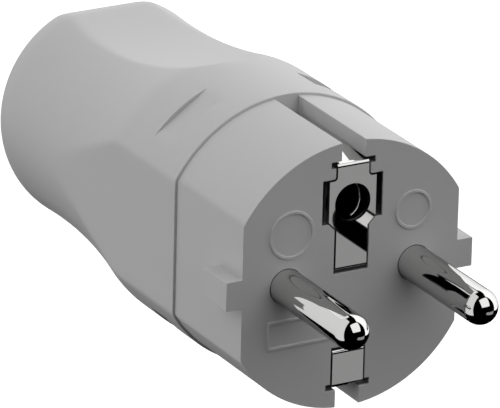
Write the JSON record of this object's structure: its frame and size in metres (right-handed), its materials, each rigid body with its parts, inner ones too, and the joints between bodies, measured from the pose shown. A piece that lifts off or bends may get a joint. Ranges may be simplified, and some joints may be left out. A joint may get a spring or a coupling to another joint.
{
  "type": "grounded two-pin mains plug",
  "caption": "Straight rewirable mains plug with round pins, side earth clips and an earth-pin socket in its face, a scooped rear hood and a cord inlet.",
  "frame": {"origin": "centre of the engagement face, midway between the pins", "axes": "-Y along the pins, the way the plug is pushed in; +Y towards the cord inlet; +Z towards the earth-pin socket; +X to the right seen from the pins' side"},
  "size_m": [0.0366, 0.093, 0.0378],
  "materials": {
    "grey_plastic": "satin moulded thermoplastic",
    "inner_plastic": "matt moulded thermoplastic",
    "nickel": "bright nickel plate",
    "zinc_steel": "bright zinc plate",
    "leaf_brass": "bright rolled strip"
  },
  "bodies": {
    "root": {"contact_carrier": "grey_plastic", "rear_hood": "grey_plastic", "line_pin": "nickel", "neutral_pin": "nickel", "earth_strip": "nickel", "earth_socket": "nickel", "terminal_plate": "inner_plastic", "cord_clamp_saddle": "inner_plastic", "line_terminal_screw": "zinc_steel", "neutral_terminal_screw": "zinc_steel", "earth_terminal_screw": "zinc_steel", "line_wire_leaf": "leaf_brass", "neutral_wire_leaf": "leaf_brass", "earth_wire_leaf": "leaf_brass", "plate_screw_left": "zinc_steel", "plate_screw_right": "zinc_steel", "clamp_screw_left": "zinc_steel", "clamp_screw_right": "zinc_steel", "clamp_nut_left": "zinc_steel", "clamp_nut_right": "zinc_steel"}
  },
  "joints": []
}
